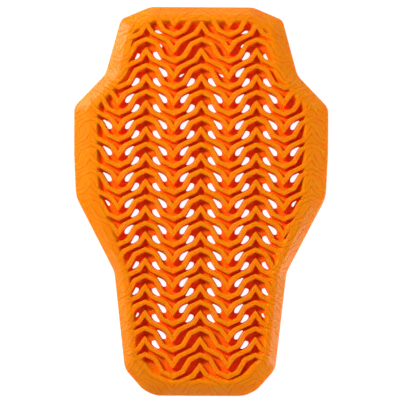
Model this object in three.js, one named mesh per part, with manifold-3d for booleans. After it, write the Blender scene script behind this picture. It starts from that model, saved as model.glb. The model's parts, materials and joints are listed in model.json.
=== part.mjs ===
// Back protector: one moulded elastomer pad, lying flat with its ribbed outer face up.
// Millimetres, +X across the back, +Y towards the neck, +Z out of the outer face.
import * as THREE from "three";
import { mergeVertices } from "three/addons/utils/BufferGeometryUtils.js";
import Module from "manifold-3d";

const wasm = await Module();
wasm.setup();

// Driving sizes
const length = 430; // neck end to tail end
const width = 281; // across the shoulders
const crestHeight = 14; // back face to the tops of the ribs
const edgeThickness = 3.6; // thin outer edge of the border
const webThickness = 6; // sheet that closes the gaps between the ribs
const ribWidth = 4.7; // top of a rib, across its run
const wallDraft = 0.7; // a rib's foot stands out this far past its top
const footDrop = 0.8; // the gaps' floors sit this much nearer the tail than their mouths
const fieldMargin = 1.2; // flat strip between the border's slope and the gaps
const fieldSlope = 4.5; // run of the sloping ends of the gaps
const cutClearance = 1; // cutting solids run this far past what they cut
const cornerSteps = 4; // chords in each rounded corner of the outline
const waveWidth = 60.9; // one wave of a rib, peak to peak across the pad
const rowPitch = 29; // from a round rib to the next round rib
const latticeShift = -6.9; // height of the middle round rib over the pad's middle

const halfLength = length / 2;
const halfWidth = width / 2;
const halfWave = waveWidth / 2;
const sharpRibOffset = rowPitch * 0.505; // from a round rib down to the sharp rib below it
const wavesEachWay = Math.ceil(halfWidth / waveWidth); // drawn past the border
const rowsEachWay = Math.ceil(halfLength / rowPitch);

// Outline and the border's inner line, corner by corner from neck to tail, right half.
// Shares of the half width and half length; the round is a length in millimetres.
const borderCorners = [
  { name: "neck end", outX: 0.405, outY: 1.0, inX: 0.38, inY: 0.936, round: 5 },
  { name: "neck corner", outX: 0.636, outY: 0.936, inX: 0.548, inY: 0.877, round: 5 },
  { name: "neck root", outX: 0.755, outY: 0.652, inX: 0.6, inY: 0.655, round: 9 },
  { name: "shoulder", outX: 1.0, outY: 0.485, inX: 0.834, inY: 0.49, round: 6 },
  { name: "flank", outX: 1.0, outY: 0.244, inX: 0.834, inY: 0.23, round: 8 },
  { name: "hip", outX: 0.983, outY: 0.022, inX: 0.816, inY: 0.018, round: 8 },
  { name: "waist", outX: 0.678, outY: -0.362, inX: 0.58, inY: -0.372, round: 11 },
  { name: "tail corner", outX: 0.592, outY: -0.862, inX: 0.515, inY: -0.797, round: 7 },
  { name: "tail chamfer", outX: 0.45, outY: -0.968, inX: 0.386, inY: -0.888, round: 6 },
  { name: "tail end", outX: 0.35, outY: -1.0, inX: 0.26, inY: -0.932, round: 8 },
];

// Zone whose gaps have open vents, right half, in the same shares. Gaps outside it are blind.
const ventZone = [
  { name: "neck", x: 0.4, y: 0.775 },
  { name: "neck root", x: 0.6, y: 0.585 },
  { name: "shoulder", x: 0.773, y: 0.43 },
  { name: "hip", x: 0.773, y: 0.095 },
  { name: "waist", x: 0.55, y: -0.26 },
  { name: "loin", x: 0.53, y: -0.515 },
  { name: "tail", x: 0.37, y: -0.76 },
];
// The middle of the back is blind towards the neck and the tail too
const blindSpine = { x: 0.215, beyondY: 0.64 };

// Half a wave of each rib's middle line: shares of half a wave across and of a row pitch up
const roundRib = [
  { across: 0, up: 0.419 },
  { across: 0.374, up: 0.238 },
  { across: 0.626, up: -0.238 },
  { across: 1, up: -0.419 },
];
const sharpRib = [
  { across: 0, up: 0.484 },
  { across: 0.232, up: 0.139 },
  { across: 0.768, up: -0.139 },
  { across: 1, up: -0.484 },
];

// Window of a vent, to the right of a wave's peak, in the same shares: the upper vents lie under
// a round rib's peaks, the lower ones over its valleys. The rib feet close their long sides.
const upperVentWindow = [
  { across: 0.436, up: 0.011 },
  { across: 0.218, up: -0.069 },
  { across: 0.189, up: -0.114 },
  { across: 0.247, up: -0.324 },
  { across: 0.436, up: -0.406 },
  { across: 0.588, up: -0.326 },
];
const lowerVentWindow = [
  { across: 0.544, up: 0.004 },
  { across: 0.653, up: -0.019 },
  { across: 0.737, up: -0.004 },
  { across: 0.773, up: 0.076 },
  { across: 0.755, up: 0.248 },
  { across: 0.479, up: 0.404 },
  { across: 0.381, up: 0.305 },
];

// Moves an open or closed line sideways, to its left for a positive distance, with mitred corners
function offsetLine(points, distance, closed) {
  const count = points.length;
  return points.map((point, i) => {
    const before = closed ? points[(i + count - 1) % count] : points[Math.max(i - 1, 0)];
    const after = closed ? points[(i + 1) % count] : points[Math.min(i + 1, count - 1)];
    const into = point.clone().sub(before).normalize();
    const outOf = after.clone().sub(point).normalize();
    if (into.length() === 0) into.copy(outOf);
    if (outOf.length() === 0) outOf.copy(into);
    const mitre = into.clone().add(outOf).normalize();
    const reach = distance / Math.max(mitre.dot(into), 0.25);
    return new THREE.Vector2(point.x - mitre.y * reach, point.y + mitre.x * reach);
  });
}

// Closed solid through flat rings of equal length, each { points, z }, from the lowest up
function stackRings(rings) {
  const count = rings[0].points.length;
  const clockwise = THREE.ShapeUtils.isClockWise(rings[0].points);
  const ordered = rings.map(({ points, z }) => ({
    points: clockwise ? [...points].reverse() : points,
    z,
  }));
  const positions = ordered.flatMap(({ points, z }) => points.flatMap((p) => [p.x, p.y, z]));
  const index = [];
  for (let ring = 0; ring + 1 < ordered.length; ring++) {
    for (let i = 0; i < count; i++) {
      const low = ring * count + i;
      const lowNext = ring * count + ((i + 1) % count);
      index.push(low, lowNext, lowNext + count, low, lowNext + count, low + count);
    }
  }
  const top = (ordered.length - 1) * count;
  for (const [a, b, c] of THREE.ShapeUtils.triangulateShape(ordered[0].points, [])) {
    index.push(a, c, b);
  }
  for (const [a, b, c] of THREE.ShapeUtils.triangulateShape(ordered.at(-1).points, [])) {
    index.push(top + a, top + b, top + c);
  }
  const geometry = new THREE.BufferGeometry();
  geometry.setAttribute("position", new THREE.Float32BufferAttribute(positions, 3));
  geometry.setIndex(index);
  return solidFrom(geometry);
}

function solidFrom(geometry) {
  const merged = mergeVertices(geometry, 1e-4);
  const vertProperties = merged.attributes.position.array;
  const triVerts = new Uint32Array(merged.index.array);
  return new wasm.Manifold(new wasm.Mesh({ numProp: 3, vertProperties, triVerts }));
}

function geometryFrom(solid) {
  const mesh = solid.getMesh();
  const geometry = new THREE.BufferGeometry();
  geometry.setAttribute("position", new THREE.BufferAttribute(mesh.vertProperties, 3));
  geometry.setIndex(new THREE.BufferAttribute(mesh.triVerts, 1));
  const flat = geometry.toNonIndexed();
  flat.computeVertexNormals();
  return flat;
}

// Closed contour of the pad, anticlockwise, part of the way from the outline (0) to the inner line (1)
function borderContour(share) {
  const right = borderCorners.map(({ outX, outY, inX, inY, round }) => ({
    at: new THREE.Vector2(
      THREE.MathUtils.lerp(outX, inX, share) * halfWidth,
      THREE.MathUtils.lerp(outY, inY, share) * halfLength,
    ),
    round,
  }));
  const left = right.map(({ at, round }) => ({ at: new THREE.Vector2(-at.x, at.y), round }));
  const corners = [...left, ...right.reverse()];
  const contour = [];
  corners.forEach(({ at, round }, i) => {
    const before = corners[(i + corners.length - 1) % corners.length].at;
    const after = corners[(i + 1) % corners.length].at;
    const shortest = Math.min(at.distanceTo(before), at.distanceTo(after));
    const reach = Math.min(round, shortest * 0.45);
    const start = at.clone().lerp(before, reach / at.distanceTo(before));
    const end = at.clone().lerp(after, reach / at.distanceTo(after));
    contour.push(...new THREE.QuadraticBezierCurve(start, at, end).getPoints(cornerSteps));
  });
  return contour;
}

// Middle line of a rib from left to right, drawn past the border on both sides
function ribLine(profile, centreY) {
  const line = [];
  for (let wave = -wavesEachWay; wave <= wavesEachWay; wave++) {
    const rising = profile.map(({ across, up }) => ({ across: -across, up })).reverse();
    const falling = profile.slice(1);
    const joined = wave > -wavesEachWay ? rising.slice(1) : rising;
    for (const { across, up } of [...joined, ...falling]) {
      const x = wave * waveWidth + across * halfWave;
      line.push(new THREE.Vector2(x, centreY + up * rowPitch));
    }
  }
  return line;
}

const rowCentre = (row) => latticeShift - row * rowPitch;
const roundRibLine = (row) => ribLine(roundRib, rowCentre(row));
const sharpRibLine = (row) => ribLine(sharpRib, rowCentre(row) - sharpRibOffset);

// Plan of the gap between two neighbouring ribs, left open by the given half width of each rib
function gapPlan(upperLine, lowerLine, halfRib, drop) {
  const top = offsetLine(upperLine, -halfRib, false);
  const bottom = offsetLine(lowerLine, halfRib, false);
  return [...bottom, ...top.reverse()].map((p) => new THREE.Vector2(p.x, p.y - drop));
}

// Gap from the web up through the crests; its mouth lies at crest height
function gapSolid(upperLine, lowerLine) {
  const mouth = gapPlan(upperLine, lowerLine, ribWidth / 2, 0);
  const floor = gapPlan(upperLine, lowerLine, ribWidth / 2 + wallDraft, footDrop);
  const depth = crestHeight - webThickness;
  const overrun = mouth.map((p, i) => p.clone().lerp(floor[i], -cutClearance / depth));
  return stackRings([
    { points: floor, z: webThickness },
    { points: overrun, z: crestHeight + cutClearance },
  ]);
}

// The same gap's floor carried straight down through the web, which the vents are cut from
function ventSlot(upperLine, lowerLine) {
  const floor = gapPlan(upperLine, lowerLine, ribWidth / 2 + wallDraft, footDrop);
  return stackRings([
    { points: floor, z: -cutClearance },
    { points: floor, z: webThickness + cutClearance / 2 },
  ]);
}

// Whether a point lies in the vent zone, on either half of the pad
function isVented(centre) {
  const x = Math.abs(centre.x) / halfWidth;
  const y = centre.y / halfLength;
  if (x < blindSpine.x && Math.abs(y) > blindSpine.beyondY) return false;
  const after = ventZone.findIndex((corner) => corner.y < y);
  if (after < 1) return false;
  const upper = ventZone[after - 1];
  const lower = ventZone[after];
  const share = (upper.y - y) / (upper.y - lower.y);
  return x < THREE.MathUtils.lerp(upper.x, lower.x, share);
}

// Windows of one kind along one row, to both sides of each peak, where the zone opens them
function rowWindows(window, row) {
  const windows = [];
  for (let wave = -wavesEachWay; wave <= wavesEachWay; wave++) {
    for (const side of [-1, 1]) {
      const points = window.map(({ across, up }) => {
        const x = wave * waveWidth + side * across * halfWave;
        return new THREE.Vector2(x, rowCentre(row) + up * rowPitch);
      });
      const centre = new THREE.Box2().setFromPoints(points).getCenter(new THREE.Vector2());
      if (!isVented(centre)) continue;
      const rings = [
        { points, z: -2 * cutClearance },
        { points, z: webThickness + cutClearance },
      ];
      windows.push(stackRings(rings));
    }
  }
  return windows;
}

function joinAll(solids) {
  return solids.reduce((joined, solid) => joined.add(solid));
}

function padBody() {
  const slopeKnee = { share: 0.62, rise: 0.8 }; // the border's slope flattens near the ribs
  return stackRings([
    { points: borderContour(0), z: 0 },
    { points: borderContour(0), z: edgeThickness },
    {
      points: borderContour(slopeKnee.share),
      z: THREE.MathUtils.lerp(edgeThickness, crestHeight, slopeKnee.rise),
    },
    { points: borderContour(1), z: crestHeight },
  ]);
}

// Region that the gaps may fill: it narrows downwards, so that they run out at the border
function gapField() {
  const innerLine = borderContour(1);
  const mouth = offsetLine(innerLine, fieldMargin, true);
  const floor = offsetLine(innerLine, fieldMargin + fieldSlope, true);
  const depth = crestHeight - webThickness;
  const overrun = mouth.map((p, i) => p.clone().lerp(floor[i], -cutClearance / depth));
  return stackRings([
    { points: floor, z: -cutClearance },
    { points: floor, z: webThickness },
    { points: overrun, z: crestHeight + cutClearance },
  ]);
}

function padSolid() {
  const gaps = [];
  const vents = [];
  const addGap = (upperLine, lowerLine, windows) => {
    gaps.push(gapSolid(upperLine, lowerLine));
    if (windows.length) vents.push(joinAll(windows).intersect(ventSlot(upperLine, lowerLine)));
  };
  for (let row = -rowsEachWay; row <= rowsEachWay; row++) {
    const round = roundRibLine(row);
    addGap(sharpRibLine(row - 1), round, rowWindows(lowerVentWindow, row));
    addGap(round, sharpRibLine(row), rowWindows(upperVentWindow, row));
  }
  const field = gapField();
  return padBody()
    .subtract(joinAll(gaps).intersect(field))
    .subtract(joinAll(vents).intersect(field));
}

const elastomer = new THREE.MeshStandardMaterial({
  color: 0xf98a0f,
  roughness: 0.5,
  metalness: 0,
});

const protectorPad = new THREE.Mesh(geometryFrom(padSolid()), elastomer);
protectorPad.name = "protector_pad";

const group = new THREE.Group();
group.add(protectorPad);

export default group;
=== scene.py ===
# Back protector: one moulded elastomer pad, lying flat on a pale floor, seen from straight above.
# Sizes are in millimetres, and points become metres where a mesh is made.
import json
import math
from collections import namedtuple

import bpy
import numpy as np
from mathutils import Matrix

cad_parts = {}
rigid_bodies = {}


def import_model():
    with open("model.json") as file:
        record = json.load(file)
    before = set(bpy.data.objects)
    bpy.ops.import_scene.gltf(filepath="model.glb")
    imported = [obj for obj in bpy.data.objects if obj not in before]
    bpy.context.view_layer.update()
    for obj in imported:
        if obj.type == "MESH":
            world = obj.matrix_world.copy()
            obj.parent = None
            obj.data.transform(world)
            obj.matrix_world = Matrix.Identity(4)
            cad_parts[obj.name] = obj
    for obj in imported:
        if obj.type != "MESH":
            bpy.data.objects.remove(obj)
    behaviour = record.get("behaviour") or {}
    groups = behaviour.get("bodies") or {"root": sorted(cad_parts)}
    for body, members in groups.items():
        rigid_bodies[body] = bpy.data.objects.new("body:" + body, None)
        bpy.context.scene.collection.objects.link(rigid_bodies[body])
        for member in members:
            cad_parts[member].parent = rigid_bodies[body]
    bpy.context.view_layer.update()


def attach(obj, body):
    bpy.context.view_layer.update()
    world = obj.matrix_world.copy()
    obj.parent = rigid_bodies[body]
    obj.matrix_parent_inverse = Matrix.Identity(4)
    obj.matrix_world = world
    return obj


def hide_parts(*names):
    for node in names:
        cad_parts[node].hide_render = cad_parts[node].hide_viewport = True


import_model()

MM = 0.001

# Pad
LENGTH = 430.0  # neck end to tail end
WIDTH = 281.0  # across the shoulders
CREST_HEIGHT = 14.0  # back face to the tops of the ribs
EDGE_THICKNESS = 3.6  # thin outer edge of the border
WEB_THICKNESS = 6.0  # sheet that closes the gaps between the ribs
RIB_WIDTH = 4.7  # top of a rib, across its run
WALL_DRAFT = 0.7  # a rib's foot stands out this far past its top
FOOT_DROP = 0.8  # the gaps' floors sit this much nearer the tail than their mouths
FIELD_MARGIN = 0.2  # flat strip between the border's slope and the gaps
FADE_RUN = 8.0  # the gaps run out to nothing over this length at the border
CUT_CLEARANCE = 0.3  # the cutting lattice stands this far over the border outside the gaps
WAVE_WIDTH = 60.9  # one wave of a rib, peak to peak across the pad
ROW_PITCH = 29.0  # from a round rib to the next round rib
LATTICE_SHIFT = -6.9  # height of the middle round rib over the pad's middle
SHARP_RIB_SHARE = 0.505  # a sharp rib lies this share of a row pitch below its round rib

# Border
KNEE_SHARE = 0.7  # the border's slope flattens this far in from the outline
KNEE_RISE = 0.84  # and has risen this much of the way there
KNEE_BEND = 0.08  # the knee is softened over this share of the border's width, to each side
TOP_BEND = 0.07  # and so is the turn at the border's inner end
EDGE_ROUND = 0.8  # rounding of the thin outer edge
ROUND_MIDDLE_SHARE = 0.3  # a rounding's middle lies this share of its radius in from both sides
BACK_INSET = 0.9  # the flat back face starts this far in from the outline
RELIEF_DEPTH = 0.3  # the ribs run out over the border as soft ridges this high
RELIEF_EDGE = 2.0  # width of a ridge's sloping side
RELIEF_FROM = 0.12  # the ridges grow from nothing here, as a share of the border's width
RELIEF_TO = 0.75  # to their full height here
CREASE_WIDTH = 1.0  # fine creases carry the ribs' two sides on over the border
CREASE_DEPTH = 0.6  # at the border's inner end
CREASE_EDGE_SHARE = 0.6  # what is left of their depth at the outer edge

# Vents
VENT_INSET = 0.6  # a vent's own wall stands in from the feet of the ribs beside it
VENT_CHAMFER = 0.5  # a vent widens by this much towards the back face
VENT_CHAMFER_HEIGHT = 0.6
VENT_MIN_OPENING = 0.3  # a vent ends where the feet of its two ribs come this near
VENT_SOFTENING = 0.6  # how far each pass draws a vent's outline towards its neighbours' mean
VENT_SOFTENING_PASSES = 2
PART_VENT_HEIGHT = 1.7  # part-open vents are cut this many times as high as full ones
PART_VENT_REACH = 4.0  # a part-open vent takes the full vent's place within this of its own x

# Where red shade is painted into the rubber's colour
DEEP_FROM = 2.5  # deeper in a gap than this
BACK_SKIN = 0.3  # and higher over the back face than this

# Studio
FLOOR_GLOW = 0.95  # the pale floor's own light, which keeps it near white
FLOOR_SIDE = 3600.0
FLOOR_GAP = 0.3  # the floor lies this far under the back face
FILL_STRENGTH = 0.07  # even light from all round
LIGHT_DISTANCE = 1.9  # metres from the pad's middle to each soft light
CAMERA_DISTANCE = 3.5  # metres over the floor
CAMERA_CENTRE = (-0.0009, 0.0017)  # metres, the point that the photograph's middle shows
CAMERA_TURN = math.radians(0.3)
FRAMED_WIDTH = 0.441  # metres across the picture at the height of the crests
SENSOR_WIDTH = 36

# Fineness of the meshes
CONTOUR_STEP = 1.25
CORNER_STEPS = 8
SIDE_LIMIT = 0.45  # a rounding takes at most this share of a straight side
COLUMNS_PER_HALF_WAVE = 24
VENT_STEP = 1.0
SMOOTH_ANGLE = math.radians(38)
FLAT_WITHIN = 0.02  # faces this near the back face's height are shaded flat
ROW_WELD = 0.01  # rows of the lattice are joined over this distance
LID_WELD = 0.001

HALF_LENGTH = LENGTH / 2
HALF_WIDTH = WIDTH / 2
HALF_WAVE = WAVE_WIDTH / 2
WAVES_EACH_WAY = math.ceil(HALF_WIDTH / WAVE_WIDTH)
ROWS_EACH_WAY = math.ceil(HALF_LENGTH / ROW_PITCH)

Corner = namedtuple("Corner", "name out_x out_y in_x in_y round")
Bend = namedtuple("Bend", "across up")
Station = namedtuple("Station", "out z")
Layer = namedtuple("Layer", "inset z")
TopRing = namedtuple("TopRing", "inset rise relief")
Zone = namedtuple("Zone", "name x y")
PartVent = namedtuple("PartVent", "name kind row x out up wide high")
Softbox = namedtuple("Softbox", "name azimuth elevation size power reflected")

# Outline and the border's inner line, corner by corner from neck to tail, right half.
# Shares of the half width and half length; the round is a length.
BORDER_CORNERS = [
    Corner("neck end", 0.405, 1.0, 0.38, 0.936, 5),
    Corner("neck corner", 0.636, 0.936, 0.548, 0.877, 5),
    Corner("neck root", 0.755, 0.652, 0.6, 0.655, 6),
    Corner("shoulder", 1.0, 0.485, 0.834, 0.49, 6),
    Corner("flank", 1.0, 0.244, 0.834, 0.23, 8),
    Corner("hip", 0.983, 0.022, 0.816, 0.018, 8),
    Corner("waist", 0.678, -0.362, 0.58, -0.372, 6),
    Corner("tail corner", 0.592, -0.862, 0.515, -0.797, 7),
    Corner("tail chamfer", 0.45, -0.968, 0.386, -0.888, 6),
    Corner("tail end", 0.35, -1.0, 0.26, -0.932, 8),
]

# The pad's thin edge, from the back face up: in from the outline, and the height there
EDGE_RINGS = [
    Layer(BACK_INSET, 0.0),
    Layer(EDGE_ROUND * ROUND_MIDDLE_SHARE, EDGE_ROUND * ROUND_MIDDLE_SHARE),
    Layer(0.0, EDGE_ROUND),
    Layer(0.0, EDGE_THICKNESS - EDGE_ROUND),
    Layer(EDGE_ROUND * ROUND_MIDDLE_SHARE, EDGE_THICKNESS - EDGE_ROUND * ROUND_MIDDLE_SHARE),
]
# The border's slope has a ring of points at each of these shares of its width
SLOPE_SHARES = [*np.linspace(0.05, 0.5, 12), *np.linspace(0.54, 1.0, 14)]
# Inside the slope: in from the border's inner line, height over the crests, and share of the ridges left
TOP_RINGS = [
    TopRing(0.9, 0.0, 1),
    TopRing(1.8, 0.0, 1),
    TopRing(3.0, 0.0, 0),
    TopRing(6.5, CUT_CLEARANCE, 0),
]

# Zone whose gaps have open vents, right half: shares of the half width and half length
VENT_ZONE = [
    Zone("neck", 0.4, 0.775),
    Zone("neck root", 0.6, 0.585),
    Zone("shoulder", 0.773, 0.43),
    Zone("hip", 0.773, 0.095),
    Zone("waist", 0.51, -0.3),
    Zone("loin", 0.5, -0.515),
    Zone("tail", 0.37, -0.76),
]
SPINE_X = 0.215  # the middle of the back is blind inside this share
SPINE_Y = 0.64  # and beyond this one

# Half a wave of each rib's middle line: shares of half a wave across and of a row pitch up
ROUND_RIB = [Bend(0, 0.419), Bend(0.374, 0.238), Bend(0.626, -0.238), Bend(1, -0.419)]
SHARP_RIB = [Bend(0, 0.484), Bend(0.232, 0.139), Bend(0.768, -0.139), Bend(1, -0.484)]
ROUND_BEND = 0.8  # a rib's bends are rounded this far to each side
SHARP_BEND = 0.6

# Half of a rib's section: out from its middle line, and the height there
RIB_SECTION = [
    Station(0.0, CREST_HEIGHT - 0.04),
    Station(1.7, CREST_HEIGHT - 0.1),
    Station(2.15, CREST_HEIGHT - 0.36),
    Station(RIB_WIDTH / 2, CREST_HEIGHT - 0.95),
    Station(RIB_WIDTH / 2 + WALL_DRAFT - 0.12, WEB_THICKNESS + 1.0),
    Station(RIB_WIDTH / 2 + WALL_DRAFT + 0.1, WEB_THICKNESS + 0.35),
]
FLOOR_SHARES = [0.17, 0.5, 0.83]  # lines along a gap's floor, between the feet of its two ribs

# Window of a vent, to the right of a wave's peak, in the same shares as the ribs
UPPER_VENT_WINDOW = [
    Bend(0.436, -0.003),
    Bend(0.215, -0.083),
    Bend(0.185, -0.128),
    Bend(0.247, -0.338),
    Bend(0.44, -0.425),
    Bend(0.6, -0.345),
]
LOWER_VENT_WINDOW = [
    Bend(0.544, -0.01),
    Bend(0.67, -0.04),
    Bend(0.775, -0.02),
    Bend(0.82, 0.06),
    Bend(0.785, 0.22),
    Bend(0.479, 0.39),
    Bend(0.381, 0.291),
]
LOWER_VENT = 0  # over the valleys of a round rib
UPPER_VENT = 1  # under its peaks

# A full vent's cutting solid, from the bottom up
VENT_LAYERS = [
    Layer(VENT_INSET - VENT_CHAMFER, -1.0),
    Layer(VENT_INSET - VENT_CHAMFER, 0.0),
    Layer(VENT_INSET, VENT_CHAMFER_HEIGHT),
    Layer(VENT_INSET, WEB_THICKNESS + 1.2),
]

# Vents that the border or a blind gap leaves part open, right half: the kind, row and place across
# the pad of the full vent, how far out and up the opening's middle lies from its middle, and the
# shares of its width and height that are open
PART_VENTS = [
    PartVent("neck slit", UPPER_VENT, -7, 49.3, -1.4, -2.6, 0.9, 0.42),
    PartVent("neck pinhole", LOWER_VENT, -6, 41.9, 2.4, 0.4, 0.32, 0.4),
    PartVent("neck root", UPPER_VENT, -6, 72.5, -1.8, -0.6, 0.6, 0.72),
    PartVent("spine slit", LOWER_VENT, -5, 19.0, 3.4, -3.4, 0.55, 0.36),
    PartVent("hip", LOWER_VENT, 0, 102.8, -0.5, 0.2, 0.55, 0.62),
    PartVent("waist", UPPER_VENT, 2, 72.5, -1.2, 0.7, 0.82, 0.9),
    PartVent("loin", UPPER_VENT, 3, 72.5, -1.2, 0.7, 0.82, 0.9),
    PartVent("tail", UPPER_VENT, 4, 72.5, -3.2, 3.6, 0.4, 0.55),
]

# Degrees, metres and watts. The key and the two washes only light the rubber, while the two low
# lights are also seen in its gloss.
SOFTBOXES = [
    Softbox("key", 141, 40, 0.3, 42, False),
    Softbox("right_wash", -8, 18, 0.8, 26, False),
    Softbox("tail_wash", -92, 14, 0.8, 13, False),
    Softbox("low_left", 150, 13, 0.75, 12, True),
    Softbox("low_right", -20, 6, 0.36, 5, True),
]


def lerp(a, b, share):
    return a + (b - a) * share


def smoothstep(low, high, value):
    t = np.clip((value - low) / (high - low), 0, 1)
    return t * t * (3 - 2 * t)


def row_centre(row):
    return LATTICE_SHIFT - row * ROW_PITCH


def ring_faces(levels, count):
    """Faces of a closed solid through rings of equal length, from the lowest up"""
    faces = []
    for level in range(levels - 1):
        for i in range(count):
            low = level * count + i
            low_next = level * count + (i + 1) % count
            faces.append((low, low_next, low_next + count, low + count))
    faces.append(tuple(range(count))[::-1])
    top = (levels - 1) * count
    faces.append(tuple(range(top, top + count)))
    return faces


def mesh_object(name, points, faces, edges=()):
    """Object at the origin from points in millimetres"""
    mesh = bpy.data.meshes.new(name)
    mesh.from_pydata((np.asarray(points) * MM).tolist(), edges, faces)
    mesh.update()
    made = bpy.data.objects.new(name, mesh)
    bpy.context.scene.collection.objects.link(made)
    return made


# Border and outline


def corner_points(share):
    """Corners of the pad's contour, anticlockwise, part of the way from the outline to the inner line"""
    right = [
        (
            lerp(c.out_x, c.in_x, share) * HALF_WIDTH,
            lerp(c.out_y, c.in_y, share) * HALF_LENGTH,
            c.round,
        )
        for c in BORDER_CORNERS
    ]
    left = [(-x, y, rounding) for x, y, rounding in right]
    return left + right[::-1]


def corner_reaches(corners):
    """How far each corner's rounding runs along its two sides"""
    count = len(corners)
    reaches = []
    for i, (x, y, rounding) in enumerate(corners):
        before = corners[i - 1]
        after = corners[(i + 1) % count]
        shortest = min(math.dist((x, y), before[:2]), math.dist((x, y), after[:2]))
        reaches.append(min(rounding, shortest * SIDE_LIMIT))
    return reaches


def border_contour(share):
    """Closed contour with rounded corners. Every share gives the same number of points."""
    outer = corner_points(0)
    outer_reaches = corner_reaches(outer)
    corners = corner_points(share)
    reaches = corner_reaches(corners)
    count = len(corners)
    contour = []
    for i in range(count):
        at = np.array(corners[i][:2])
        before = np.array(corners[i - 1][:2])
        after = np.array(corners[(i + 1) % count][:2])
        start = at + (before - at) / np.linalg.norm(before - at) * reaches[i]
        end = at + (after - at) / np.linalg.norm(after - at) * reaches[i]
        for t in np.linspace(0, 1, CORNER_STEPS + 1):
            contour.append((1 - t) ** 2 * start + 2 * t * (1 - t) * at + t * t * end)
        following = (i + 1) % count
        run = math.dist(outer[i][:2], outer[following][:2])
        run -= outer_reaches[i] + outer_reaches[following]
        steps = max(1, math.ceil(run / CONTOUR_STEP))
        reach_end = after + (at - after) / np.linalg.norm(at - after) * reaches[following]
        for step in range(1, steps):
            contour.append(end + (reach_end - end) * step / steps)
    return np.array(contour)


def inset_contour(contour, distance):
    """Contour moved inwards, to the left of its anticlockwise run"""
    along = np.roll(contour, -1, axis=0) - np.roll(contour, 1, axis=0)
    along /= np.linalg.norm(along, axis=1)[:, None]
    return contour + np.stack([-along[:, 1], along[:, 0]], axis=1) * distance


def slope_height(share):
    """Height of the border part of the way in, with its knee and its inner end softened"""
    knee_height = lerp(EDGE_THICKNESS, CREST_HEIGHT, KNEE_RISE)
    height = np.interp(share, [0.0, KNEE_SHARE, 1.0], [EDGE_THICKNESS, knee_height, CREST_HEIGHT])
    outer_slope = (knee_height - EDGE_THICKNESS) / KNEE_SHARE
    inner_slope = (CREST_HEIGHT - knee_height) / (1 - KNEE_SHARE)
    turns = [(KNEE_SHARE, KNEE_BEND, inner_slope - outer_slope), (1.0, TOP_BEND, -inner_slope)]
    for at, bend, turn in turns:
        near = max(0.0, bend - abs(share - at))
        height += turn / (4 * bend) * near**2
    return height


def rib_height(bends, across):
    """Height of a rib's middle line, as a share of a row pitch, and its slope"""
    xs = [bend.across for bend in bends]
    ups = [bend.up for bend in bends]
    rise = np.interp(across, xs, ups)
    step = 0.01
    ahead = np.interp(across + step, xs, ups)
    behind = np.interp(across - step, xs, ups)
    slope = (ahead - behind) * ROW_PITCH / (2 * step * HALF_WAVE)
    return rise, slope


def rib_distance(x, y):
    """Distance from a point to the nearest rib's middle line"""
    wave = np.mod(x, WAVE_WIDTH) / HALF_WAVE
    across = np.where(wave > 1, 2 - wave, wave)
    nearest = np.full(x.shape, 1e9)
    for bends, drop in ((ROUND_RIB, 0.0), (SHARP_RIB, SHARP_RIB_SHARE)):
        rise, slope = rib_height(bends, across)
        rows = (y - LATTICE_SHIFT) / ROW_PITCH + drop - rise
        away = np.abs(rows - np.round(rows)) * ROW_PITCH / np.sqrt(1 + slope**2)
        nearest = np.minimum(nearest, away)
    return nearest


def border_relief(points, share):
    """How far the border lies below its smooth slope: the ribs run out over it as low ridges"""
    away = rib_distance(points[:, 0], points[:, 1])
    between = smoothstep(RIB_WIDTH / 2 - RELIEF_EDGE / 2, RIB_WIDTH / 2 + RELIEF_EDGE / 2, away)
    reach = smoothstep(RELIEF_FROM, RELIEF_TO, share)
    return RELIEF_DEPTH * reach * between


def make_pad_blank():
    """Pad before its gaps and vents are cut: flat back, thin edge, sloping border, flat top"""
    outline = border_contour(0)
    inner_line = border_contour(1)
    count = len(outline)
    rings = []
    for edge in EDGE_RINGS:
        rings.append((inset_contour(outline, edge.inset), np.full(count, edge.z)))
    for share in SLOPE_SHARES:
        ring = border_contour(share)
        rings.append((ring, slope_height(share) - border_relief(ring, share)))
    for top in TOP_RINGS:
        ring = inset_contour(inner_line, top.inset)
        rings.append((ring, CREST_HEIGHT + top.rise - top.relief * border_relief(ring, 1.0)))
    points = np.concatenate([np.column_stack([ring, z]) for ring, z in rings])
    return mesh_object("protector_moulding", points, ring_faces(len(rings), count))


# Rib lattice, drawn as one row round the middle round rib, which the node tree repeats

ROUND_MIDDLE = row_centre(0)
SHARP_BELOW = ROUND_MIDDLE - SHARP_RIB_SHARE * ROW_PITCH
SHARP_ABOVE = SHARP_BELOW + ROW_PITCH


def lattice_columns():
    """Places across the pad where the lattice has a column of points"""
    reach = math.ceil(HALF_WIDTH / HALF_WAVE * COLUMNS_PER_HALF_WAVE)
    return np.arange(-reach, reach + 1) * HALF_WAVE / COLUMNS_PER_HALF_WAVE


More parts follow.
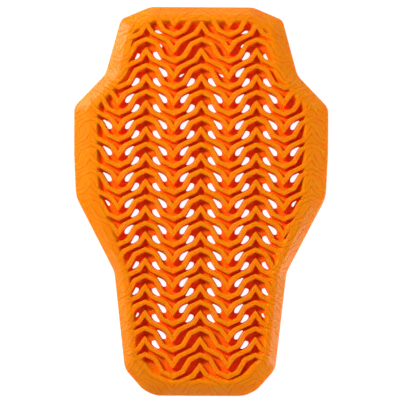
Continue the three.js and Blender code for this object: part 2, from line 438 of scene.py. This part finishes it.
def rib_line(bends, centre_y, reach, out, columns):
    """Height over the columns of a rib's line moved out sideways, towards the neck if positive"""
    xs = []
    ys = []
    for wave in range(-WAVES_EACH_WAY, WAVES_EACH_WAY + 1):
        rising = [(-b.across, b.up) for b in bends[::-1]]
        falling = [(b.across, b.up) for b in bends[1:]]
        for across, up in (rising if not xs else rising[1:]) + falling:
            xs.append(wave * WAVE_WIDTH + across * HALF_WAVE)
            ys.append(centre_y + up * ROW_PITCH)
    turns = np.arctan2(np.diff(ys), np.diff(xs))
    before = np.concatenate([turns[:1], turns])
    after = np.concatenate([turns, turns[-1:]])
    middle = (before + after) / 2
    spread = out / np.cos((after - before) / 2)
    xs = np.array(xs) - np.sin(middle) * spread
    ys = np.array(ys) + np.cos(middle) * spread
    slopes = np.diff(ys) / np.diff(xs)
    y = np.interp(columns, xs, ys)
    for i in range(1, len(xs) - 1):
        bend = min(reach, (xs[i + 1] - xs[i]) * SIDE_LIMIT, (xs[i] - xs[i - 1]) * SIDE_LIMIT)
        near = np.clip(bend - np.abs(columns - xs[i]), 0, None)
        y += (slopes[i] - slopes[i - 1]) / (4 * bend) * near**2
    return y


def rib_side(bends, centre_y, reach, side, columns):
    """Lines of one side of a rib, from its middle line out to the gap's floor"""
    lines = []
    for station in RIB_SECTION:
        y = rib_line(bends, centre_y, reach, side * station.out, columns)
        depth = (CREST_HEIGHT - station.z) / (CREST_HEIGHT - WEB_THICKNESS)
        z = np.full(y.shape, station.z)
        lines.append(np.column_stack([columns, y - FOOT_DROP * depth, z]))
    return lines


def floor_lines(upper_foot, lower_foot):
    """Lines along a gap's floor, from the foot of its upper rib to the foot of its lower one"""
    lines = [lerp(upper_foot, lower_foot, share) for share in FLOOR_SHARES]
    for line in lines:
        line[:, 2] = WEB_THICKNESS
    return lines


def make_lattice_row():
    """Upper surface of one row: a round rib between two sharp ones, from crest to crest"""
    columns = lattice_columns()
    above = rib_side(SHARP_RIB, SHARP_ABOVE, SHARP_BEND, -1, columns)
    round_up = rib_side(ROUND_RIB, ROUND_MIDDLE, ROUND_BEND, 1, columns)
    round_down = rib_side(ROUND_RIB, ROUND_MIDDLE, ROUND_BEND, -1, columns)
    below = rib_side(SHARP_RIB, SHARP_BELOW, SHARP_BEND, 1, columns)
    upper_floor = floor_lines(above[-1], round_up[-1])
    lower_floor = floor_lines(round_down[-1], below[-1])
    lines = above + upper_floor + round_up[:0:-1] + round_down + lower_floor + below[::-1]
    count = len(columns)
    faces = []
    for line in range(len(lines) - 1):
        for i in range(count - 1):
            high = line * count + i
            low = high + count
            faces.append((high, low, low + 1, high + 1))
    return mesh_object("lattice_row", np.concatenate(lines), faces)


def make_crease_row():
    """Thin wedges along both sides of one row's ribs. Height 1 marks their top and -1 their bottom."""
    columns = lattice_columns()
    count = len(columns)
    section = ((CREASE_WIDTH / 2, 1), (0, -1), (-CREASE_WIDTH / 2, 1))
    ribs = [(ROUND_RIB, ROUND_MIDDLE, ROUND_BEND), (SHARP_RIB, SHARP_BELOW, SHARP_BEND)]
    points = []
    faces = []
    for bends, centre_y, reach in ribs:
        for side in (-1, 1):
            first = len(points)
            for out, z in section:
                y = rib_line(bends, centre_y, reach, side * RIB_WIDTH / 2 + out, columns)
                points.extend(np.column_stack([columns, y, np.full(count, z)]))
            for line in range(3):
                here = first + line * count
                beyond = first + (line + 1) % 3 * count
                for i in range(count - 1):
                    faces.append((here + i, here + i + 1, beyond + i + 1, beyond + i))
            ends = (first, first + count, first + 2 * count)
            faces.append(ends)
            faces.append(tuple(end + count - 1 for end in reversed(ends)))
    return mesh_object("crease_row", points, faces)


# Vents


def foot_line(bends, centre_y, reach, side):
    """Foot of a rib's wall, as a function that gives its height over any places across the pad"""
    columns = lattice_columns()
    out = RIB_WIDTH / 2 + WALL_DRAFT
    line = rib_line(bends, centre_y, reach, side * out, columns) - FOOT_DROP
    return lambda x: np.interp(x, columns, line)


def vent_outline(window, upper_foot, lower_foot):
    """Window of a vent between the feet of the ribs above and below it, round its middle"""
    corners = [(b.across * HALF_WAVE, ROUND_MIDDLE + b.up * ROW_PITCH) for b in window]
    left = min(x for x, y in corners)
    right = max(x for x, y in corners)
    columns = np.linspace(left, right, math.ceil((right - left) / VENT_STEP) + 1)[1:-1]
    top = np.full(columns.shape, -1e9)
    bottom = np.full(columns.shape, 1e9)
    for (x0, y0), (x1, y1) in zip(corners, corners[1:] + corners[:1]):
        inside = (columns - x0) * (columns - x1) <= 0
        y = y0 + (y1 - y0) * (columns - x0) / (x1 - x0 + 1e-9)
        top = np.where(inside, np.maximum(top, y), top)
        bottom = np.where(inside, np.minimum(bottom, y), bottom)
    top = np.minimum(top, upper_foot(columns))
    bottom = np.maximum(bottom, lower_foot(columns))
    open_here = top - bottom > VENT_MIN_OPENING
    lower = np.column_stack([columns, bottom])[open_here]
    upper = np.column_stack([columns, top])[open_here][::-1]
    outline = np.concatenate([lower, upper])
    for _ in range(VENT_SOFTENING_PASSES):
        softened = (np.roll(outline, 1, axis=0) + 2 * outline + np.roll(outline, -1, axis=0)) / 4
        outline = lerp(outline, softened, VENT_SOFTENING)
    return outline


def make_vent_cutter(name, outline, mirrored):
    """Prism through the web under one vent, round its own middle, chamfered at the back face"""
    if mirrored:
        outline = (outline * (-1, 1))[::-1]
    count = len(outline)
    rings = []
    for layer in VENT_LAYERS:
        ring = inset_contour(outline, layer.inset)
        rings.append(np.column_stack([ring, np.full(count, layer.z)]))
    return mesh_object(name, np.concatenate(rings), ring_faces(len(rings), count))


def is_vented(x, y):
    """Whether a full vent with its window's middle here is open, on either half of the pad"""
    x = abs(x) / HALF_WIDTH
    y = y / HALF_LENGTH
    if x < SPINE_X and abs(y) > SPINE_Y:
        return False
    for upper, lower in zip(VENT_ZONE, VENT_ZONE[1:]):
        if lower.y < y <= upper.y:
            return x < lerp(upper.x, lower.x, (upper.y - y) / (upper.y - lower.y))
    return False


def full_vent_places(window, middle, side):
    """Middles of one kind's full vents, on one side of the wave's peaks"""
    across = [b.across for b in window]
    ups = [b.up for b in window]
    window_x = side * (min(across) + max(across)) / 2 * HALF_WAVE
    window_up = (min(ups) + max(ups)) / 2 * ROW_PITCH
    places = []
    for row in range(-ROWS_EACH_WAY, ROWS_EACH_WAY + 1):
        for wave in range(-WAVES_EACH_WAY, WAVES_EACH_WAY + 1):
            if is_vented(wave * WAVE_WIDTH + window_x, row_centre(row) + window_up):
                x = wave * WAVE_WIDTH + side * middle[0]
                places.append((x, middle[1] + row_centre(row) - ROUND_MIDDLE, 0.0))
    return places


def part_vent_place(part, middle, side):
    """Middle of a part-open vent in the right half, or None if it belongs to the peaks' other side"""
    wave = round((part.x - side * middle[0]) / WAVE_WIDTH)
    x = wave * WAVE_WIDTH + side * middle[0]
    if abs(x - part.x) > PART_VENT_REACH:
        return None
    y = middle[1] + row_centre(part.row) - ROUND_MIDDLE + part.up
    return x + part.out, y


def make_vents():
    """Four vent cutters, for two kinds and their mirror images, and the places where they repeat"""
    kinds = {
        LOWER_VENT: (
            "lower_vent",
            LOWER_VENT_WINDOW,
            foot_line(SHARP_RIB, SHARP_ABOVE, SHARP_BEND, -1),
            foot_line(ROUND_RIB, ROUND_MIDDLE, ROUND_BEND, 1),
        ),
        UPPER_VENT: (
            "upper_vent",
            UPPER_VENT_WINDOW,
            foot_line(ROUND_RIB, ROUND_MIDDLE, ROUND_BEND, -1),
            foot_line(SHARP_RIB, SHARP_BELOW, SHARP_BEND, 1),
        ),
    }
    cutters = bpy.data.collections.new("vent_cutters")
    bpy.context.scene.collection.children.link(cutters)
    places = []
    indices = []
    scales = []
    for kind, (name, window, upper_foot, lower_foot) in kinds.items():
        outline = vent_outline(window, upper_foot, lower_foot)
        middle = (outline.min(axis=0) + outline.max(axis=0)) / 2
        for mirrored in (False, True):
            side = -1 if mirrored else 1
            index = kind * 2 + int(mirrored)
            cutter = make_vent_cutter(f"vent_{index}_{name}", outline - middle, mirrored)
            bpy.context.scene.collection.objects.unlink(cutter)
            cutters.objects.link(cutter)
            full = full_vent_places(window, middle, side)
            places += full
            indices += [index] * len(full)
            scales += [(1.0, 1.0, 1.0)] * len(full)
            mirror_index = kind * 2 + int(not mirrored)
            for part in PART_VENTS:
                place = part_vent_place(part, middle, side) if part.kind == kind else None
                if place is None:
                    continue
                places += [(place[0], place[1], 0.0), (-place[0], place[1], 0.0)]
                indices += [index, mirror_index]
                scales += [(part.wide, part.high, PART_VENT_HEIGHT)] * 2
    sites = mesh_object("vent_sites", places, [])
    kind_attribute = sites.data.attributes.new("vent_kind", "INT", "POINT")
    kind_attribute.data.foreach_set("value", indices)
    scale_attribute = sites.data.attributes.new("vent_scale", "FLOAT_VECTOR", "POINT")
    scale_attribute.data.foreach_set("vector", np.array(scales).ravel())
    return sites, cutters


# Geometry nodes

GAP_TREE_INPUTS = {
    "Lattice Row": "Object",
    "Crease Row": "Object",
    "Field Edge": "Object",
    "Vent Sites": "Object",
    "Vent Cutters": "Collection",
    "Rows": "Int",
    "First Row": "Float",
    "Row Pitch": "Float",
    "Crest Height": "Float",
    "Edge Thickness": "Float",
    "Web Thickness": "Float",
    "Fade Run": "Float",
    "Clearance": "Float",
    "Crease Depth": "Float",
    "Deep From": "Float",
    "Smooth Angle": "Float",
    "Material": "Material",
}
RAY_START = 3.0  # rays down to the pad start at this many times the crest height
LID_HEIGHT = 1.5  # and the gaps' cutting solid ends at this many


class Tree:
    """A Geometry Nodes tree with named inputs"""

    def __init__(self, name, inputs):
        self.tree = bpy.data.node_groups.new(name, "GeometryNodeTree")
        interface = self.tree.interface
        interface.new_socket("Geometry", in_out="INPUT", socket_type="NodeSocketGeometry")
        interface.new_socket("Geometry", in_out="OUTPUT", socket_type="NodeSocketGeometry")
        for input_name, kind in inputs.items():
            interface.new_socket(input_name, in_out="INPUT", socket_type=f"NodeSocket{kind}")
        self.inputs = self.tree.nodes.new("NodeGroupInput").outputs
        self.exit = self.tree.nodes.new("NodeGroupOutput")

    def feed(self, socket, value):
        """Links an output to a node's input, or sets the input to a plain value"""
        if isinstance(value, bpy.types.NodeSocket):
            self.tree.links.new(value, socket)
        else:
            socket.default_value = value

    def node(self, kind, values=(), **settings):
        """Node whose inputs are given by their names or numbers"""
        made = self.tree.nodes.new(kind)
        for key, value in settings.items():
            setattr(made, key, value)
        for key, value in dict(values).items():
            self.feed(made.inputs[key], value)
        return made

    def math(self, operation, *values):
        return self.node("ShaderNodeMath", enumerate(values), operation=operation).outputs[0]

    def vector_math(self, operation, first, second):
        return self.node("ShaderNodeVectorMath", {0: first, 1: second}, operation=operation).outputs

    def point(self, x, y, z=0.0):
        return self.node("ShaderNodeCombineXYZ", {"X": x, "Y": y, "Z": z}).outputs[0]

    def place(self):
        """The three parts of each point's position"""
        position = self.node("GeometryNodeInputPosition").outputs[0]
        return self.node("ShaderNodeSeparateXYZ", {0: position}).outputs

    def real(self, instances):
        return self.node("GeometryNodeRealizeInstances", {0: instances}).outputs[0]

    def moved(self, geometry, position, selection=True):
        values = {"Geometry": geometry, "Selection": selection, "Position": position}
        return self.node("GeometryNodeSetPosition", values).outputs[0]

    def welded(self, geometry, distance):
        values = {"Geometry": geometry, "Distance": distance * MM}
        return self.node("GeometryNodeMergeByDistance", values).outputs[0]


def in_rows(made, row_input):
    """One row's mesh, repeated from the neck to the tail"""
    inputs = made.inputs
    down = made.math("MULTIPLY", inputs["Row Pitch"], -1.0)
    sites = made.node(
        "GeometryNodeMeshLine",
        {
            "Count": inputs["Rows"],
            "Start Location": made.point(0.0, inputs["First Row"]),
            "Offset": made.point(0.0, down),
        },
    )
    row = made.node("GeometryNodeObjectInfo", {"Object": inputs[row_input]})
    rows = made.node(
        "GeometryNodeInstanceOnPoints",
        {"Points": sites.outputs[0], "Instance": row.outputs["Geometry"]},
    )
    return made.real(rows.outputs[0])


def front_height(made, x, y):
    """Height of the uncut pad's front over a place"""
    above = made.math("MULTIPLY", made.inputs["Crest Height"], RAY_START)
    ray = made.node(
        "GeometryNodeRaycast",
        {"Target Geometry": made.inputs["Geometry"], "Source Position": made.point(x, y, above)},
    )
    return made.node("ShaderNodeSeparateXYZ", {0: ray.outputs["Hit Position"]}).outputs["Z"]


def crease_cutter(made):
    """The crease rows on the border, where each point lies over or under the surface"""
    inputs = made.inputs
    place = made.place()
    front = front_height(made, place["X"], place["Y"])
    surface = made.math("MAXIMUM", front, inputs["Edge Thickness"])
    strength = made.node(
        "ShaderNodeMapRange",
        {
            "Value": surface,
            "From Min": inputs["Edge Thickness"],
            "From Max": inputs["Crest Height"],
            "To Min": CREASE_EDGE_SHARE,
            "To Max": 1.0,
        },
    )
    reach = made.math("MULTIPLY", inputs["Crease Depth"], strength.outputs[0])
    height = made.math("MULTIPLY_ADD", made.math("SIGN", place["Z"]), reach, surface)
    return made.moved(in_rows(made, "Crease Row"), made.point(place["X"], place["Y"], height))


def inwards_from_field_edge(made, flat_place):
    """Distance in from the edge of the gaps' field, negative outside it. The field is star-shaped
    round the origin, so a point outside it lies further out than its nearest edge."""
    field = made.node("GeometryNodeObjectInfo", {"Object": made.inputs["Field Edge"]})
    near = made.node(
        "GeometryNodeProximity",
        {0: field.outputs["Geometry"], "Source Position": flat_place},
        target_element="EDGES",
    )
    nearest = near.outputs["Position"]
    beyond = made.vector_math("SUBTRACT", flat_place, nearest)[0]
    outwards = made.vector_math("DOT_PRODUCT", beyond, nearest)["Value"]
    sign = made.math("MULTIPLY", made.math("SIGN", outwards), -1.0)
    return made.math("MULTIPLY", near.outputs["Distance"], sign)


def lattice_surface(made):
    """The ribs' surface, where the gaps grow from nothing to their full depth over the fade run"""
    inputs = made.inputs
    crest = inputs["Crest Height"]
    rows = made.welded(in_rows(made, "Lattice Row"), ROW_WELD)
    place = made.place()
    inwards = inwards_from_field_edge(made, made.point(place["X"], place["Y"]))
    fade = made.node(
        "ShaderNodeMapRange",
        {"Value": inwards, "From Max": inputs["Fade Run"]},
        interpolation_type="SMOOTHSTEP",
    ).outputs[0]
    depth = made.math("MULTIPLY", made.math("SUBTRACT", crest, place["Z"]), fade)
    lift = made.math("MULTIPLY", made.math("SUBTRACT", 1.0, fade), inputs["Clearance"])
    height = made.math("ADD", made.math("SUBTRACT", crest, depth), lift)
    return made.moved(rows, made.point(place["X"], place["Y"], height))


def gap_cutter(made):
    """Closed solid from the ribs' surface up to a flat lid"""
    surface = lattice_surface(made)
    walls = made.node(
        "GeometryNodeExtrudeMesh",
        {"Mesh": surface, "Individual": False, "Offset Scale": MM},
        mode="FACES",
    )
    place = made.place()
    lid_height = made.math("MULTIPLY", made.inputs["Crest Height"], LID_HEIGHT)
    lid_place = made.point(place["X"], place["Y"], lid_height)
    lidded = made.moved(walls.outputs["Mesh"], lid_place, walls.outputs["Top"])
    underside = made.node("GeometryNodeFlipFaces", {"Mesh": surface}).outputs[0]
    both = made.node("GeometryNodeJoinGeometry")
    for part in (lidded, underside):
        made.feed(both.inputs[0], part)
    return made.welded(both.outputs[0], LID_WELD)


def vent_cutter(made):
    """A vent's cutting solid of the right kind and size at each vent's place"""
    inputs = made.inputs
    sites = made.node("GeometryNodeObjectInfo", {"Object": inputs["Vent Sites"]})
    kinds = made.node(
        "GeometryNodeCollectionInfo",
        {"Collection": inputs["Vent Cutters"], "Separate Children": True, "Reset Children": True},
    )
    attribute = "GeometryNodeInputNamedAttribute"
    kind = made.node(attribute, {"Name": "vent_kind"}, data_type="INT")
    scale = made.node(attribute, {"Name": "vent_scale"}, data_type="FLOAT_VECTOR")
    vents = made.node(
        "GeometryNodeInstanceOnPoints",
        {
            "Points": sites.outputs["Geometry"],
            "Instance": kinds.outputs[0],
            "Pick Instance": True,
            "Instance Index": kind.outputs["Attribute"],
            "Scale": scale.outputs["Attribute"],
        },
    )
    return made.real(vents.outputs[0])


def cut_from_pad(made, cutters):
    def in_triangles(geometry):
        return made.node("GeometryNodeTriangulate", {0: geometry}).outputs[0]

    pad = in_triangles(made.inputs["Geometry"])
    for cutter in cutters:
        cut = made.node(
            "GeometryNodeMeshBoolean",
            {"Mesh 1": pad, "Mesh 2": in_triangles(cutter)},
            operation="DIFFERENCE",
            solver="MANIFOLD",
        )
        pad = in_triangles(cut.outputs["Mesh"])
    return pad


def with_painted_shade_depth(made, pad):
    """Stores how deep each point of the front lies in a gap, from 0 to 1, which the material uses to
    paint red shade into the gaps
    """
    inputs = made.inputs
    place = made.place()
    below = made.math("SUBTRACT", front_height(made, place["X"], place["Y"]), place["Z"])
    full_depth = made.math("SUBTRACT", inputs["Crest Height"], inputs["Web Thickness"])
    deepness = made.node(
        "ShaderNodeMapRange",
        {"Value": below, "From Min": inputs["Deep From"], "From Max": full_depth},
    )
    off_the_back = made.math("GREATER_THAN", place["Z"], BACK_SKIN * MM)
    # Painted shade: the depth that the material turns into red in the gaps
    gap_depth = made.math("MULTIPLY", deepness.outputs[0], off_the_back)
    stored = made.node(
        "GeometryNodeStoreNamedAttribute",
        {"Geometry": pad, "Name": "gap_depth", "Value": gap_depth},
        data_type="FLOAT",
        domain="POINT",
    )
    return stored.outputs[0]


def with_finish(made, pad):
    """Smooth all over but for the flat back face and the sharp edges, and with its material"""
    off_the_back = made.math("GREATER_THAN", made.place()["Z"], FLAT_WITHIN * MM)
    smooth = made.node(
        "GeometryNodeSetShadeSmooth",
        {"Geometry": pad, "Shade Smooth": off_the_back},
        domain="FACE",
    )
    angle = made.node("GeometryNodeInputMeshEdgeAngle").outputs["Unsigned Angle"]
    sharp = made.math("GREATER_THAN", angle, made.inputs["Smooth Angle"])
    edged = made.node(
        "GeometryNodeSetShadeSmooth",
        {"Geometry": smooth.outputs[0], "Selection": sharp, "Shade Smooth": False},
        domain="EDGE",
    )
    coated = made.node(
        "GeometryNodeSetMaterial",
        {"Geometry": made.real(edged.outputs[0]), "Material": made.inputs["Material"]},
    )
    return coated.outputs[0]


def gap_cutting_tree():
    """Tree that cuts the creases, the gaps and the vents from the pad's blank"""
    made = Tree("rib_lattice", GAP_TREE_INPUTS)
    cutters = (crease_cutter(made), gap_cutter(made), vent_cutter(made))
    pad = with_painted_shade_depth(made, cut_from_pad(made, cutters))
    made.feed(made.exit.inputs[0], with_finish(made, pad))
    return made.tree


def set_inputs(modifier, tree, values):
    """Sets a modifier's inputs by their sockets' identifiers"""
    for item in tree.interface.items_tree:
        if item.item_type == "SOCKET" and item.in_out == "INPUT" and item.name in values:
            modifier[item.identifier] = values[item.name]


def make_protector_pad(material):
    """The moulding, with its gaps and vents cut"""
    blank = make_pad_blank()
    row = make_lattice_row()
    crease_row = make_crease_row()
    field_line = inset_contour(border_contour(1), FIELD_MARGIN)
    field_points = np.column_stack([field_line, np.zeros(len(field_line))])
    count = len(field_points)
    field_edges = [(i, (i + 1) % count) for i in range(count)]
    field = mesh_object("gap_field_edge", field_points, [], field_edges)
    sites, cutters = make_vents()
    tree = gap_cutting_tree()
    modifier = blank.modifiers.new("rib_lattice", "NODES")
    modifier.node_group = tree
    set_inputs(
        modifier,
        tree,
        {
            "Lattice Row": row,
            "Crease Row": crease_row,
            "Crease Depth": CREASE_DEPTH * MM,
            "Edge Thickness": EDGE_THICKNESS * MM,
            "Field Edge": field,
            "Vent Sites": sites,
            "Vent Cutters": cutters,
            "Rows": 2 * ROWS_EACH_WAY + 1,
            "First Row": ROWS_EACH_WAY * ROW_PITCH * MM,
            "Row Pitch": ROW_PITCH * MM,
            "Fade Run": FADE_RUN * MM,
            "Crest Height": CREST_HEIGHT * MM,
            "Clearance": CUT_CLEARANCE * MM,
            "Smooth Angle": SMOOTH_ANGLE,
            "Deep From": DEEP_FROM * MM,
            "Web Thickness": WEB_THICKNESS * MM,
            "Material": material,
        },
    )
    evaluated = blank.evaluated_get(bpy.context.evaluated_depsgraph_get())
    finished = bpy.data.meshes.new_from_object(evaluated)
    blank.modifiers.remove(modifier)
    blank.data = finished
    for helper in [row, crease_row, field, sites, *cutters.objects]:
        bpy.data.objects.remove(helper)
    bpy.data.collections.remove(cutters)
    return blank


# Materials, with linear colours

RUBBER_DARK = (0.76, 0.200, 0.0008, 1)
RUBBER_LIGHT = (0.80, 0.230, 0.0012, 1)
# Painted shade: the deep red that light bounced round inside the gaps gives, put into the colour
PAINTED_GAP_SHADE = (0.97, 0.16, 0.002, 1)
FLOOR_GREY = (0.15, 0.15, 0.15, 1)
WHITE = (1, 1, 1, 1)


def new_material(name):
    material = bpy.data.materials.new(name)
    material.use_nodes = True
    tree = material.node_tree
    tree.nodes.clear()
    output = tree.nodes.new("ShaderNodeOutputMaterial")
    shader = tree.nodes.new("ShaderNodeBsdfPrincipled")
    tree.links.new(shader.outputs[0], output.inputs["Surface"])
    return material, tree, shader


def noise(tree, coordinates, scale, detail):
    made = tree.nodes.new("ShaderNodeTexNoise")
    made.inputs["Scale"].default_value = scale
    made.inputs["Detail"].default_value = detail
    tree.links.new(coordinates, made.inputs["Vector"])
    return made.outputs["Fac"]


def make_orange_elastomer():
    """Satin orange rubber with a fine moulded grain, and red shade painted into its colour down in the
    gaps
    """
    material, tree, shader = new_material("orange_elastomer")
    links = tree.links
    coordinates = tree.nodes.new("ShaderNodeTexCoord").outputs["Object"]
    depth = tree.nodes.new("ShaderNodeAttribute")
    depth.attribute_name = "gap_depth"
    cloud = noise(tree, coordinates, scale=14.0, detail=3.0)
    shade = tree.nodes.new("ShaderNodeMix")
    shade.data_type = "RGBA"
    shade.inputs[6].default_value = RUBBER_DARK
    shade.inputs[7].default_value = RUBBER_LIGHT
    links.new(cloud, shade.inputs[0])
    # Painted shade: mixes the red in by how deep each point lies in a gap
    painted_shade = tree.nodes.new("ShaderNodeMix")
    painted_shade.data_type = "RGBA"
    painted_shade.inputs[7].default_value = PAINTED_GAP_SHADE
    links.new(shade.outputs[2], painted_shade.inputs[6])
    links.new(depth.outputs["Fac"], painted_shade.inputs[0])
    links.new(painted_shade.outputs[2], shader.inputs["Base Color"])
    grain = noise(tree, coordinates, scale=1100.0, detail=2.0)
    ripple = noise(tree, coordinates, scale=60.0, detail=2.0)
    ripple_strength = 3.0
    mixed = tree.nodes.new("ShaderNodeMath")
    mixed.operation = "MULTIPLY_ADD"
    mixed.inputs[1].default_value = ripple_strength
    links.new(ripple, mixed.inputs[0])
    links.new(grain, mixed.inputs[2])
    bump = tree.nodes.new("ShaderNodeBump")
    bump.inputs["Strength"].default_value = 0.35
    bump.inputs["Distance"].default_value = 0.00006
    links.new(mixed.outputs[0], bump.inputs["Height"])
    links.new(bump.outputs[0], shader.inputs["Normal"])
    gloss = tree.nodes.new("ShaderNodeMapRange")
    links.new(grain, gloss.inputs["Value"])
    gloss.inputs["To Min"].default_value = 0.32
    gloss.inputs["To Max"].default_value = 0.42
    links.new(gloss.outputs[0], shader.inputs["Roughness"])
    shader.inputs["IOR"].default_value = 1.48
    shader.inputs["Specular IOR Level"].default_value = 0.45
    shader.inputs["Subsurface Weight"].default_value = 0.6
    shader.inputs["Subsurface Radius"].default_value = (1.0, 0.05, 0.01)
    shader.inputs["Subsurface Scale"].default_value = 0.007
    return material


def make_floor_finish():
    """Plain pale paper"""
    material, tree, shader = new_material("pale_floor")
    coordinates = tree.nodes.new("ShaderNodeTexCoord").outputs["Object"]
    tone = tree.nodes.new("ShaderNodeMapRange")
    tree.links.new(noise(tree, coordinates, scale=30.0, detail=3.0), tone.inputs["Value"])
    tone.inputs["To Min"].default_value = 0.7
    tone.inputs["To Max"].default_value = 0.74
    tree.links.new(tone.outputs[0], shader.inputs["Roughness"])
    shader.inputs["Base Color"].default_value = FLOOR_GREY
    shader.inputs["Emission Color"].default_value = WHITE
    shader.inputs["Emission Strength"].default_value = FLOOR_GLOW
    return material


# Studio


def make_floor():
    reach = FLOOR_SIDE / 2
    corners = [(x * reach, y * reach, -FLOOR_GAP) for x, y in ((-1, -1), (1, -1), (1, 1), (-1, 1))]
    floor = mesh_object("floor", corners, [(0, 1, 2, 3)])
    floor.data.materials.append(make_floor_finish())


def add_softbox(softbox):
    """Square soft light that looks at the pad's middle. Azimuth 0 is +X, 90 towards the neck."""
    light = bpy.data.lights.new(softbox.name, "AREA")
    light.shape = "SQUARE"
    light.size = softbox.size
    light.energy = softbox.power
    box = bpy.data.objects.new(softbox.name, light)
    a = math.radians(softbox.azimuth)
    e = math.radians(softbox.elevation)
    box.location = (
        LIGHT_DISTANCE * math.cos(e) * math.cos(a),
        LIGHT_DISTANCE * math.cos(e) * math.sin(a),
        LIGHT_DISTANCE * math.sin(e),
    )
    box.rotation_euler = (math.pi / 2 - e, 0, a + math.pi / 2)
    box.visible_glossy = softbox.reflected
    bpy.context.scene.collection.objects.link(box)


def add_world():
    """Dim even light all round, behind which the room looks as pale as the floor"""
    world = bpy.data.worlds.new("studio")
    world.use_nodes = True
    tree = world.node_tree
    fill = tree.nodes["Background"]
    fill.inputs["Color"].default_value = WHITE
    fill.inputs["Strength"].default_value = FILL_STRENGTH
    room = tree.nodes.new("ShaderNodeBackground")
    room.inputs["Color"].default_value = WHITE
    room.inputs["Strength"].default_value = FLOOR_GLOW
    rays = tree.nodes.new("ShaderNodeLightPath")
    either = tree.nodes.new("ShaderNodeMixShader")
    tree.links.new(rays.outputs["Is Camera Ray"], either.inputs[0])
    tree.links.new(fill.outputs[0], either.inputs[1])
    tree.links.new(room.outputs[0], either.inputs[2])
    tree.links.new(either.outputs[0], tree.nodes["World Output"].inputs["Surface"])
    bpy.context.scene.world = world


def add_studio():
    bpy.context.scene.view_settings.view_transform = "Standard"
    add_world()
    for softbox in SOFTBOXES:
        add_softbox(softbox)


def add_camera():
    """Straight above the pad"""
    data = bpy.data.cameras.new("camera")
    data.sensor_width = SENSOR_WIDTH
    data.lens = SENSOR_WIDTH * (CAMERA_DISTANCE - CREST_HEIGHT * MM) / FRAMED_WIDTH
    data.clip_end = 20
    camera = bpy.data.objects.new("camera", data)
    camera.location = (*CAMERA_CENTRE, CAMERA_DISTANCE)
    camera.rotation_euler = (0, 0, CAMERA_TURN)
    bpy.context.scene.collection.objects.link(camera)
    bpy.context.scene.camera = camera


add_camera()
add_studio()
make_floor()
pad = make_protector_pad(make_orange_elastomer())
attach(pad, "root")
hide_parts("protector_pad")
